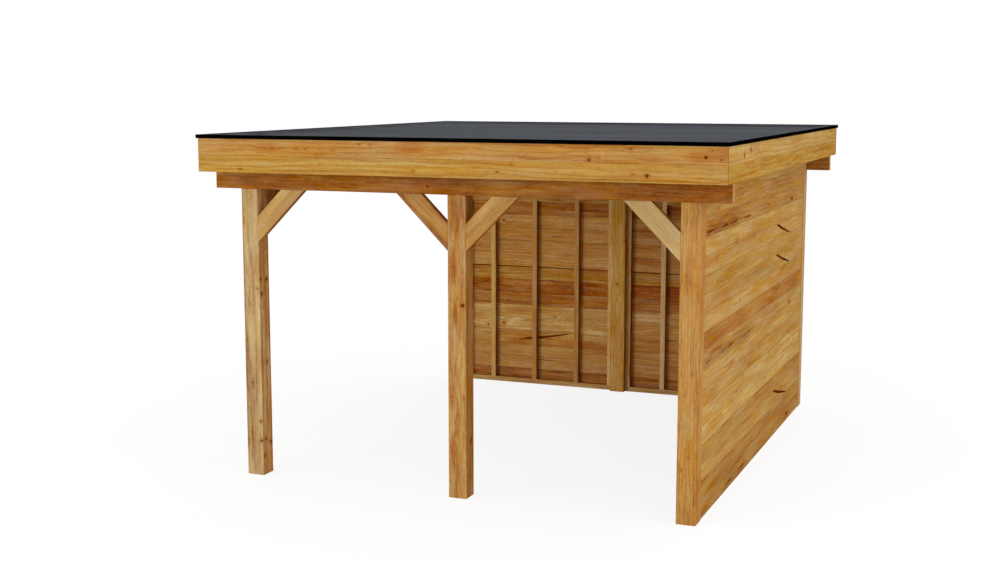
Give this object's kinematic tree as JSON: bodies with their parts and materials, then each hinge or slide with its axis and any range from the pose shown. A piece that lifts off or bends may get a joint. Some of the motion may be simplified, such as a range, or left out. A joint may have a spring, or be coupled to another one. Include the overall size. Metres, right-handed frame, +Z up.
{
  "type": "freestanding veranda",
  "caption": "Flat-roofed timber veranda on square posts with knee braces, open at the front and left, with boarded stud walls at the back and right and a black-edged roof.",
  "frame": {"origin": "on the ground under the middle of the roof", "axes": "+Z up, the open front with its knee braces faces -Y, the closed side wall is at +X"},
  "size_m": [3.44, 3.87, 2.251],
  "materials": {
    "post_front_left": "planed softwood, oiled",
    "post_front_mid": "planed softwood, oiled",
    "post_front_right": "planed softwood, oiled",
    "post_back": "planed softwood, oiled",
    "beam_long": "planed softwood, oiled",
    "beam_side": "planed softwood, oiled",
    "brace": "planed softwood, oiled",
    "joist": "sawn softwood",
    "deck": "tongued boards",
    "membrane": "smooth rubber sheet",
    "kerb": "sawn softwood",
    "trim": "black coated aluminium",
    "fascia_lower": "planed softwood, oiled",
    "fascia_upper": "planed softwood, oiled",
    "stud": "sawn softwood",
    "rail": "sawn softwood",
    "cladding": "planed softwood boards, oiled"
  },
  "bodies": {
    "root": {"post_front_left": "post_front_left", "post_front_mid": "post_front_mid", "post_front_right": "post_front_right", "post_back_left": "post_back", "post_back_mid": "post_back", "post_back_right": "post_back", "beam_front": "beam_long", "beam_back": "beam_long", "beam_left": "beam_side", "beam_right": "beam_side", "brace_front_left": "brace", "brace_mid_left": "brace", "brace_mid_right": "brace", "brace_front_right": "brace", "brace_side_front": "brace", "brace_side_back": "brace", "joists": "joist", "deck": "deck", "membrane": "membrane", "kerb_front_back": "kerb", "kerb_sides": "kerb", "trim_front": "trim", "trim_back": "trim", "trim_left": "trim", "trim_right": "trim", "fascia_front_lower": "fascia_lower", "fascia_front_upper": "fascia_upper", "fascia_back_lower": "fascia_lower", "fascia_back_upper": "fascia_upper", "fascia_left_lower": "fascia_lower", "fascia_left_upper": "fascia_upper", "fascia_right_lower": "fascia_lower", "fascia_right_upper": "fascia_upper", "studs_back_left": "stud", "rails_back_left": "rail", "cladding_back_left": "cladding", "studs_back_right": "stud", "rails_back_right": "rail", "cladding_back_right": "cladding", "studs_side": "stud", "rails_side": "rail", "cladding_side": "cladding"}
  },
  "joints": []
}
